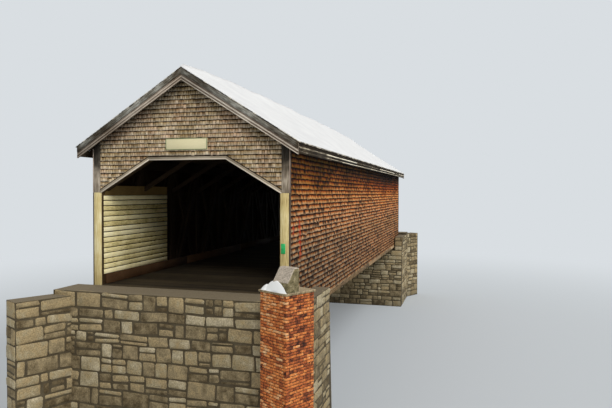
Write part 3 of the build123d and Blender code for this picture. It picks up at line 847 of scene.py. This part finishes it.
# The newer feet start this far over the solid's foot and are this much narrower than their room, and
# the narrow boards start this far over the foot of the wall
new_lift, new_slack, narrow_lift = 0.02, 0.004, 0.01
board_random = np.random.default_rng(41)
for end, word in ends:
    out = (0, end, 0)
    for label, (material, top, foot, y) in rake_boards.items():
        parts = []
        for side in (-1, 1):
            shade = rake_shades[side * end]
            parts.append(rake_board(side, end, y, top, foot, rake_thickness, shade, 42 + side))
        as_piece(f"{word}_rake_{label}_dressed", merged(parts), material,
                 (f"{word}_rake_{label}",))
    parts = []
    for side in (-1, 1):
        shade = moulding_shades[side * end]
        for top, foot, proud in mouldings:
            parts.append(rake_board(side, end, roof_end + proud / 2, top, foot, proud, shade, 47 + side))
        parts.append(plumb_end(side, end))
    as_piece(f"{word}_rake_mouldings", merged(parts), moulding_board)

    trim_low, trim_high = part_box(f"{word}_portal_trim")
    trim_y = (trim_low.y + trim_high.y) / 2
    thickness = trim_high.y - trim_low.y - trim_recess
    # A dark strip over the trim stands for the painted shadow in its gap
    gap = trim_band(end, trim_y, thickness, *painted_shadow_band)
    laths = trim_band(end, trim_y, thickness, *edge_lath) + trim_band(end, trim_y, thickness, *inner_lath)
    as_piece(f"{word}_trim_painted_shadows", merged(gap), dark_foot_board)
    as_piece(f"{word}_portal_trim_boards", merged(laths), trim_board,
             (f"{word}_portal_trim",))

    y = end * (abs(wall_end) + abs(gable_face)) / 2
    thickness = abs(wall_end) - abs(gable_face)
    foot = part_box(f"{word}_corner_boards")[0].z
    upper, lower, narrow, narrow_low = [], [], [], []
    for side in (-1, 1):
        x = side * (old_inner + side_face) / 2
        upper.append(board((x, y, portal_spring + meeting), (x, y, roof_apex), out, side_face - old_inner,
                           thickness, board_random.uniform(0.3, 0.7)))
        x = side * (new_inner + side_face) / 2
        lower.append(board((x, y, foot + new_lift), (x, y, portal_spring - 2 * meeting), out,
                           side_face - new_inner - new_slack, thickness, board_random.uniform(0.4, 0.8)))
        edge_x = side * (side_face + corner_outer) / 2
        edge_y = end * (abs(wall_end) - narrow_width / 2)
        for group, low, high in ((narrow_low, wall_foot + narrow_lift, portal_spring - meeting),
                                 (narrow, portal_spring + meeting, wall_head)):
            group.append(board((edge_x, edge_y, low), (edge_x, edge_y, high), (side, 0, 0), narrow_width,
                               corner_outer - side_face, board_random.uniform(0.5, 0.9)))
    upper_mesh = joined_mesh("corner boards", board_box, upper, seed=51)
    as_piece(f"{word}_old_corner_boards", cut_under_roof(upper_mesh), old_corner_board,
             (f"{word}_corner_boards",))
    block_piece(f"{word}_new_corner_boards", board_box, lower, 52, new_board, "cream_board")
    block_piece(f"{word}_side_corner_boards", board_box, narrow, 53, ruddy_board, "weathered_board")
    block_piece(f"{word}_side_corner_feet", board_box, narrow_low, 54, dark_foot_board, "weathered_board")


# Skirt boards, eave boards and curbs: lengths of sawn stock, each this far short of its joints
joint_half_gap = 0.002


def butt_joints(low, high, count, random):
    """Ends of a number of butted lengths along a line, up to half a metre from an even spacing."""
    marks = [low + (high - low) * k / count for k in range(count + 1)]
    return [m if k in (0, count) else m + random.uniform(-0.5, 0.5) for k, m in enumerate(marks)]


def long_boards(name, node, base, material, slot, width, thickness, x, z, count, seed, outward=1,
                drop=0.004, missing=0.0):
    """Butted boards along both sides of the bridge, of which up to missing is gone at one end."""
    random = np.random.default_rng(seed)
    low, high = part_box(node)
    rows = []
    for side in (-1, 1):
        marks = butt_joints(low.y, high.y, count, random)
        for y0, y1 in zip(marks[:-1], marks[1:]):
            height = z + random.uniform(-drop, drop)
            y1 -= missing * random.random()
            start = (side * x, y0 + joint_half_gap, height)
            finish = (side * x, y1 - joint_half_gap, height)
            rows.append(board(start, finish, (outward * side, 0, 0), width, thickness, random.random()))
    return block_piece(name, base, rows, seed, material, slot, (node,))


long_boards("skirt_boards_dressed", "side_skirt_boards", board_box, skirt_board, "weathered_board",
            width=skirt_high.z - skirt_low.z, thickness=skirt_high.x - side_face,
            x=(side_face + skirt_high.x) / 2, z=(skirt_high.z + skirt_low.z) / 2, count=6, seed=61)
eave_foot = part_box("eave_boards")[0].z
eave_depth = 0.2
eave_thickness = 0.025
long_boards("eave_boards_dressed", "eave_boards", board_box, eave_board, "weathered_board",
            width=eave_depth, thickness=eave_thickness, x=roof_half - eave_thickness / 2,
            z=eave_foot + eave_depth / 2, count=6, seed=62, drop=0.002)
# Two laths on each eave board: height over its foot, how far they stand out, and width
eave_laths = ((0.04, 0.006, 0.024), (0.147, 0.012, 0.036))
lath_thickness = 0.022
for number, (up, proud, width) in enumerate(eave_laths):
    long_boards(f"eave_strip_{number}", "eave_boards", board_box, eave_lath, "weathered_board", width=width,
                thickness=lath_thickness, x=roof_half + proud, z=eave_foot + up, count=9, seed=64 + number,
                drop=0.006, missing=0.12)
curb_low, curb_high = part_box("curb_timbers")
curb_width = 0.08
long_boards("curb_timbers_dressed", "curb_timbers", beam_box, curb_wood, "dark_timber",
            width=curb_high.z - curb_low.z - 0.002, thickness=curb_width, x=curb_high.x - curb_width / 2,
            z=(curb_high.z + curb_low.z) / 2, count=5, seed=63, outward=-1, drop=0.001)

# Deck: planks laid across, with gaps
plank_random = np.random.default_rng(71)
plank_count = 120
plank_pitch = (deck_high.y - deck_low.y) / plank_count
planks = []
for k in range(plank_count):
    y = deck_low.y + (k + 0.5) * plank_pitch
    gap = plank_random.uniform(0.003, 0.009)
    sink = plank_random.uniform(0.0, 0.004)
    z = (deck_low.z + deck_high.z) / 2 - sink / 2
    planks.append(board((-jamb, y, z), (jamb, y, z), UP, plank_pitch - gap, deck_high.z - deck_low.z - sink,
                        plank_random.random()))
block_piece("deck_planks", board_box, planks, 72, plank_wood, "deck_plank", ("deck",))

# Linings: 15 boards, one above the other, run out past the solids into the portal's jambs
lining_random = np.random.default_rng(81)
lining_count = 15
lining_thickness = 0.02
into_jamb = 0.06
# The middle of a board lies this far in from the trusses' inner faces
lining_middle = 0.011
for word in ("near", "far"):
    low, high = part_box(f"{word}_lining")
    y0 = low.y - (into_jamb if word == "near" else 0)
    y1 = high.y + (into_jamb if word == "far" else 0)
    step = (high.z - low.z) / lining_count
    rows = []
    for side in (-1, 1):
        for k in range(lining_count):
            z = low.z + (k + 0.5) * step
            gap = lining_random.uniform(0.02, 0.03)
            x = side * (truss_inner - lining_middle - lining_random.uniform(0.0, 0.004))
            rows.append(board((x, y0, z), (x, y1, z), (-side, 0, 0), step - gap, lining_thickness,
                              lining_random.random()))
    block_piece(f"{word}_lining_boards", board_box, rows, 82, lime_board, "whitewashed_board",
                (f"{word}_lining",))

# Notice board: bare, with a thin painted strip round it
low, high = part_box("notice_board")
face_recess = 0.008
middle_y, middle_z = (low.y + high.y + face_recess) / 2, (low.z + high.z) / 2
frontward = (0, -1, 0)
rows = [board((low.x, middle_y, middle_z), (high.x, middle_y, middle_z), frontward, high.z - low.z,
              high.y - low.y - face_recess)]
block_piece("bare_notice_board", board_box, rows, 91, cream_paint, "cream_board", ("notice_board",))
strip_y = low.y + 0.006
strip_width = 0.012
inset = 0.007
strips = []
for z in (low.z + inset, high.z - inset):
    strips.append(board((low.x, strip_y, z), (high.x, strip_y, z), frontward, strip_width, 0.02))
for x in (low.x + inset, high.x - inset):
    strips.append(board((x, strip_y, low.z + 2 * inset), (x, strip_y, high.z - 2 * inset), frontward,
                        strip_width, 0.018))
block_piece("notice_board_edge", board_box, strips, 92, green_edge, "cream_board")


# Masonry: the least length of a stone and height of a band, and a stone's depth from face to back
least_stone = 0.22
stone_depth = 0.14
# The ranges of a band's height, a stone's length, the joints, and how far stones stand out
band_heights = (0.24, 0.46)
stone_lengths = (least_stone, 0.85)
stone_joints = (0.008, 0.03)
stone_proud = (0.008, 0.035)
# In bands over this height, this share of the places takes two stones, one on the other
split_height = 0.28
split_share = 0.6
# How far a stone is turned at most, in radians
stone_turn = 0.06


def stone_rows(random, origin, out, up, width, height):
    """Rubble on one face: bands of large stones, some in two, from the middle of the face's foot."""
    turn = facing(out, up)
    rows = []
    z = 0.0
    while z < height - 0.02:
        band = random.uniform(*band_heights)
        if height - z - band < least_stone:
            band = height - z
        at = -width / 2
        while at < width / 2 - 0.01:
            long = random.uniform(*stone_lengths)
            if width / 2 - at - long < least_stone:
                long = width / 2 - at
            split = random.uniform(0.3, 0.7) if band > split_height and random.random() < split_share else 1
            for low, high in ((0, split), (split, 1)):
                if low == high:
                    continue
                joint = random.uniform(*stone_joints)
                proud = random.uniform(*stone_proud)
                local = Vector((at + long / 2, z + band * (low + high) / 2, proud - stone_depth / 2))
                centre = Vector(origin) + Vector(turn @ np.array(local))
                spun = turn @ np.array(Matrix.Rotation(random.uniform(-stone_turn, stone_turn), 3, "Z"))
                halves = ((long - joint) / 2, (band * (high - low) - joint) / 2, stone_depth / 2)
                rows.append((centre, halves, spun, random.random()))
            at += long
        z += band
    return rows


# The abutments lean back from the span by 1 in 10. Their seats for the bed timbers lie in pockets
# between cheeks, which stop short of the deck
stone_random = np.random.default_rng(101)
batter = 0.1
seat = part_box("bed_timbers")[0].z
cheek_top = deck_top - 0.15
pocket = corner_outer + 0.03
# The wing walls: half their thickness, their length to the abutment, and the middle of their tips
splay = radians(27)
wing_half = 0.3
wing_root = 1.9
wing_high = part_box("far_wing_walls")[1]
tip_x = wing_high.x - wing_half * cos(splay)
tip_y = wing_high.y - wing_half * sin(splay)
# Length of the near right wing wall's tip that the pier hides
behind_pier = 1.0
# The stones of the sides are centred half this far behind the middle and are this much shorter in all,
# to clear the leaning front, and those of a wing wall stop this far short of the abutment
side_back, side_short, wing_short = 0.3, 0.45, 0.25
for end, word in ends:
    low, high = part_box(f"{word}_abutment")
    half = high.x
    front, rear = sorted((abs(low.y), abs(high.y)))
    inward = Vector((0, -end, batter))
    lean = Vector((0, end * batter, 1)).normalized()
    rows = stone_rows(stone_random, (0, end * front, 0), inward, lean, 2 * half, (seat - 0.01) / lean.z)
    for side in (-1, 1):
        start = Vector((side * (half + pocket) / 2, end * front, 0)) + lean * (seat / lean.z)
        rows += stone_rows(stone_random, start, inward, lean, half - pocket, (cheek_top - seat) / lean.z)
        middle = (side * half, end * (rear + front + side_back) / 2, 0)
        rows += stone_rows(stone_random, middle, (side, 0, 0), UP, rear - front - side_short,
                           cheek_top)
    rows += stone_rows(stone_random, (0, end * rear, 0), (0, end, 0), UP, 2 * half, deck_top - 0.02)
    block_piece(f"{word}_abutment_stones", stone_box, rows, 102 + end, field_stone, "rubble_stone",
                rough=0.018)
    rows = []
    for side in (-1, 1):
        into = Vector((-side * sin(splay), -end * cos(splay), 0))
        across = Vector((side * cos(splay), -end * sin(splay), 0))
        tip = Vector((side * tip_x, end * tip_y, 0))
        start = behind_pier if end < 0 and side > 0 else 0.0
        length = wing_root - start - wing_short
        for face in (-1, 1):
            centre = tip + into * (start + length / 2) + across * (face * wing_half)
            rows += stone_rows(stone_random, centre, across * face, UP, length, wing_high.z)
        if not start:
            rows += stone_rows(stone_random, tip, -into, UP, 2 * wing_half, wing_high.z)
    block_piece(f"{word}_wing_stones", stone_box, rows, 105 + end, field_stone, "rubble_stone", rough=0.018)

# Brick pier: running bond, four bricks to a side, half bricks at the corners of every other course
pier_low, pier_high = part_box("brick_pier")
pier_middle = (pier_low + pier_high) / 2
pier_side = 0.86
pier_turn = radians(-29)
brick_random = np.random.default_rng(111)
course_count = 73
course = (pier_high.z - pier_low.z) / course_count
brick_length = pier_side / 4
brick_half_depth = 0.045
bed_joint = 0.012
joint_half = 0.005
# How far the bricks stand out from the mortar, and the least shade of those on the front and elsewhere: the
# front's paler as painted light, the others darker as painted shade
proud = 0.007
front_painted_light, other_painted_shade = 0.3, 0.08
bricks = []
for quarter in range(4):
    angle = pier_turn + quarter * pi / 2
    out = Vector((sin(angle), -cos(angle), 0))
    turn = facing(out)
    origin = Vector((pier_middle.x, pier_middle.y, pier_low.z)) + out * (pier_side / 2)
    for k in range(course_count):
        marks = [i * brick_length for i in range(5)]
        if (k + quarter) % 2:
            marks = [0] + [(i + 0.5) * brick_length for i in range(4)] + [4 * brick_length]
        for left, right in zip(marks[:-1], marks[1:]):
            a = left - pier_side / 2 - (proud if left == 0 else -joint_half)
            b = right - pier_side / 2 + (proud if right == 4 * brick_length else -joint_half)
            stand = proud + brick_random.uniform(-0.004, 0.003)
            local = Vector(((a + b) / 2, (k + 0.5) * course, stand - brick_half_depth))
            centre = origin + Vector(turn @ np.array(local))
            # The front's bricks are paler as painted light, the other faces' darker as painted shade
            shade = brick_random.random() * 0.7 + (front_painted_light if quarter == 0 else other_painted_shade)
            bricks.append((centre, ((b - a) / 2, (course - bed_joint) / 2, brick_half_depth), turn, shade))
block_piece("pier_bricks", brick_box, bricks, 112, red_brick, "brick", rough=0.0015)


# Snow on the roof: thin at the eaves and the gable ends, deeper along the ridge
snow_x = roof_half + 0.018
snow_y = roof_end + 0.01
least_snow = 0.032
# Depth at the gable ends, what is added towards mid-length and over how many metres, and the share of it
# that is gone at the eaves
end_snow, more_snow, end_reach, eave_loss = 0.05, 0.19, 2.2, 0.72
# Over how far it is rounded off at the eaves, at the gable ends and on the ridge
eave_round, end_round, ridge_round = 0.14, 0.12, 0.25
# Height of its underside over the roof boards, down among the shingles, and a depth that is added all over
snow_foot, snow_base = 0.02, 0.045


def snow_depth(x, y):
    """Depth of the snow at a place on the roof: in soft swells, rounded off at its edges and the ridge."""
    from_end = snow_y - abs(y)
    from_eave = (snow_x - abs(x)) / cos(pitch)
    body = end_snow + more_snow * (1 - np.exp(-from_end / end_reach))
    body *= 1 - eave_loss * (abs(x) / snow_x) ** 1.4
    swell = noise.noise(Vector((x * 0.7, y * 0.45, 3.1))) + 0.5 * noise.noise(Vector((x * 2.1, y * 1.6, 7.7)))
    body *= 1 + 0.22 * swell
    edge = noise.noise(Vector((0.3, y * 2.3, 1.0))) * 0.5 + noise.noise(Vector((x * 3.1, y * 5.7, 4.0))) * 0.3
    rounding = min(1.0, max(0.0, from_eave + 0.02 * edge) / eave_round) ** 0.5
    ending = min(1.0, max(0.0, from_end) / end_round) ** 0.5
    crest = slope * (hypot(x, ridge_round) - abs(x) - ridge_round) * 0.5
    return max(least_snow, snow_base + body * rounding * ending + crest)


def snow_blanket():
    """Snow over both slopes, its underside down among the shingles."""
    bm = bmesh.new()
    bmesh.ops.create_grid(bm, x_segments=60, y_segments=260, size=1)
    top = bmesh.ops.extrude_face_region(bm, geom=bm.faces[:])["geom"]
    above = {v for v in top if isinstance(v, bmesh.types.BMVert)}
    for v in bm.verts:
        x, y = v.co.x * snow_x, v.co.y * snow_y
        depth = snow_depth(x, y) if v in above else 0
        v.co = (x, y, roof_top(x) + snow_foot + depth)
    bmesh.ops.recalc_face_normals(bm, faces=bm.faces[:])
    return as_mesh(bm, "roof_snow", smooth=True)


as_piece("roof_snow", snow_blanket(), snow)

# A bare enamelled plate on the near right corner board, at hip height
plate_width, plate_thickness = 0.12, 0.006
plate_foot = Vector((jamb + 0.1, wall_end - plate_thickness / 2, deck_top + 1.06))
plate_head = plate_foot + UP * 0.27
rows = [board(plate_foot, plate_head, frontward, plate_width, plate_thickness)]
block_piece("bare_green_plate", plate_box, rows, 121, enamel, "green_plate")


# The cast cap and block of the pier, their edges worn and pale
def worn_edges(name, node, width, material):
    """The solid of a node with rounded edges, which have a shade of their own."""
    bm = bmesh.new()
    bm.from_mesh(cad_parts[node].data)
    bmesh.ops.remove_doubles(bm, verts=bm.verts[:], dist=1e-5)
    bmesh.ops.dissolve_limit(bm, angle_limit=radians(1), verts=bm.verts[:], edges=bm.edges[:])
    worn = bmesh.ops.bevel(bm, geom=bm.edges[:], offset=width, segments=2, profile=0.5, affect="EDGES",
                           material=-1)["faces"]
    layer = bm.faces.layers.float.new("shade")
    for face in bm.faces:
        face[layer] = 1.0 if face in worn else 0.5 if abs(face.normal.z) > 0.2 else 0.2
    return as_piece(name, as_mesh(bm, name), material, (node,))


worn_edges("worn_pier_cap", "pier_cap", 0.012, cast_cap)
worn_edges("worn_pier_block", "pier_block", 0.02, block_concrete)

# Snow left on the cap: three lumps, each with the place of its middle along and across the cap, its half
# length, half width and height
heap_lumps = ((-0.1, -0.33, 0.24, 0.14, 0.22), (0.1, -0.42, 0.34, 0.055, 0.25),
              (-0.3, -0.33, 0.17, 0.14, 0.12))
heap_half_length, heap_half_width, heap_middle = 0.46, 0.16, -0.31


def heap_height(x, y):
    """Height of the heap at a place on the cap, measured from the cap's middle along its sides."""
    lumps = [c * (1 - ((x - at_x) / a) ** 2 - ((y - at_y) / b) ** 2) for at_x, at_y, a, b, c in heap_lumps]
    return max(lumps) + 0.015 * noise.noise(Vector((x * 14, y * 14, 2.0)))


def snow_heap():
    """Snow heaped on the free corner of the cap and banked against the front of the block."""
    bm = bmesh.new()
    bmesh.ops.create_grid(bm, x_segments=90, y_segments=50, size=1)
    for v in bm.verts:
        v.co = (v.co.x * heap_half_length, v.co.y * heap_half_width + heap_middle, 0)
    bare = [f for f in bm.faces if max(heap_height(v.co.x, v.co.y) for v in f.verts) <= 0.004]
    bmesh.ops.delete(bm, geom=bare, context="FACES")
    top = bmesh.ops.extrude_face_region(bm, geom=bm.faces[:])["geom"]
    for v in top:
        if isinstance(v, bmesh.types.BMVert):
            v.co.z = max(0.006, heap_height(v.co.x, v.co.y))
    bmesh.ops.recalc_face_normals(bm, faces=bm.faces[:])
    bmesh.ops.rotate(bm, verts=bm.verts[:], cent=(0, 0, 0), matrix=Matrix.Rotation(pier_turn, 3, "Z"))
    cap_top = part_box("pier_cap")[1].z
    bmesh.ops.translate(bm, verts=bm.verts[:], vec=(pier_middle.x, pier_middle.y, cap_top - 0.002))
    return as_mesh(bm, "pier_snow", smooth=True)


as_piece("pier_snow", snow_heap(), heaped_snow_painted_light)

# The solids that stay, by their material
stays = (
    (lime_mortar, ("near_abutment", "far_abutment", "near_wing_walls", "far_wing_walls")),
    (brick_mortar, ("brick_pier",)),
    (timber["across"], ("bed_timbers", "floor_beams", "tie_beams", "lateral_bracing")),
    (timber["along"], ("bottom_chords", "top_chords", "floor_stringers", "wall_plates", "ridge_board",
                       "ridge_cap")),
    (timber["upright"], ("left_truss_posts", "right_truss_posts")),
    (timber["leaning"], ("left_truss_braces", "right_truss_braces")),
    (timber["counter"], ("left_counterbraces", "right_counterbraces")),
    (timber["knee"], ("knee_braces",)),
    (timber["rafter"], ("rafters",)),
    (brown_board, ("lining_bands",)),
    (roof_boards, ("left_roof_slope", "right_roof_slope")),
    (sheathing, ("left_side_wall", "right_side_wall")),
    (gable_boards, ("near_gable_wall", "far_gable_wall")),
)
for material, names in stays:
    for name in names:
        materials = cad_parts[name].data.materials
        materials.clear()
        materials.append(material)


# The setting: a pale floor, soft light and the camera
backdrop = "#D9DEE2"


def pale_floor():
    """Matt pale grey that takes the bridge's shadow and fades into the backdrop."""
    material = bpy.data.materials.new("pale_floor")
    material.use_nodes = True
    tree = material.node_tree
    tree.nodes.clear()
    place = add(tree, "TexCoord").outputs["Object"]
    far = add(tree, "VectorMath", "LENGTH", i0=place)
    fade = add(tree, "MapRange", {"interpolation_type": "SMOOTHSTEP"}, Value=far.outputs["Value"],
               From_Min=14.0, From_Max=45.0)
    path = add(tree, "LightPath")
    seen = add(tree, "Math", "MAXIMUM", i0=path.outputs["Is Camera Ray"], i1=path.outputs["Is Glossy Ray"])
    share = add(tree, "Math", "MULTIPLY", i0=fade, i1=seen)
    matt = add(tree, "BsdfDiffuse", Color="#C6CBCF")
    white = add(tree, "Emission", Color=backdrop, Strength=1.0)
    mixed = add(tree, "MixShader", Fac=share, i1=matt, i2=white)
    add(tree, "OutputMaterial", Surface=mixed)
    return material


floor_half = 160
floor_bm = bmesh.new()
bmesh.ops.create_grid(floor_bm, x_segments=1, y_segments=1, size=floor_half)
floor = bpy.data.objects.new("floor", as_mesh(floor_bm, "floor"))
scene.collection.objects.link(floor)
floor.data.materials.append(pale_floor())

world = bpy.data.worlds.new("studio")
scene.world = world
world.use_nodes = True
tree = world.node_tree
tree.nodes.clear()
path = add(tree, "LightPath")
seen = add(tree, "Math", "MAXIMUM", i0=path.outputs["Is Camera Ray"], i1=path.outputs["Is Glossy Ray"])
seen = add(tree, "Math", "MAXIMUM", i0=seen, i1=path.outputs["Is Transmission Ray"])
soft = add(tree, "Background", Color="#F2F2F0", Strength=0.62)
white = add(tree, "Background", Color=backdrop, Strength=1.0)
mixed = add(tree, "MixShader", Fac=seen, i1=soft, i2=white)
add(tree, "OutputWorld", Surface=mixed)


def soft_sun(name, strength, towards):
    """A sun 20 degrees wide, so that its shadows are soft."""
    light = bpy.data.lights.new(name, "SUN")
    light.energy = strength
    light.angle = radians(20)
    lamp = bpy.data.objects.new(name, light)
    scene.collection.objects.link(lamp)
    lamp.rotation_euler = Vector(towards).to_track_quat("-Z", "Y").to_euler()


soft_sun("high_front_light", 1.25, (-0.42, 0.78, -0.68))
soft_sun("high_side_light", 1.3, (-0.95, 0.12, -0.55))

# The camera that fits the photograph: its place in metres, its turns in radians, and its focal length and
# the picture's width in pixels
camera_place = (7.414, -26.065, 7.167)
yaw, tip, roll = 0.279, -0.020, 0.003
focal_pixels = 560
photo_width = 612
forward = Vector((-sin(yaw), cos(yaw), 0)) * cos(tip) + UP * sin(tip)
level_right = Vector((cos(yaw), sin(yaw), 0))
level_up = level_right.cross(forward)
right = level_right * cos(roll) + level_up * sin(roll)
up = level_up * cos(roll) - level_right * sin(roll)
camera_data = bpy.data.cameras.new("camera")
camera_data.sensor_width = 36
camera_data.lens = focal_pixels / photo_width * camera_data.sensor_width
camera_data.clip_end = 500
camera = bpy.data.objects.new("camera", camera_data)
scene.collection.objects.link(camera)
turn = Matrix((right, up, -forward)).transposed().to_4x4()
camera.matrix_world = Matrix.Translation(camera_place) @ turn
scene.camera = camera
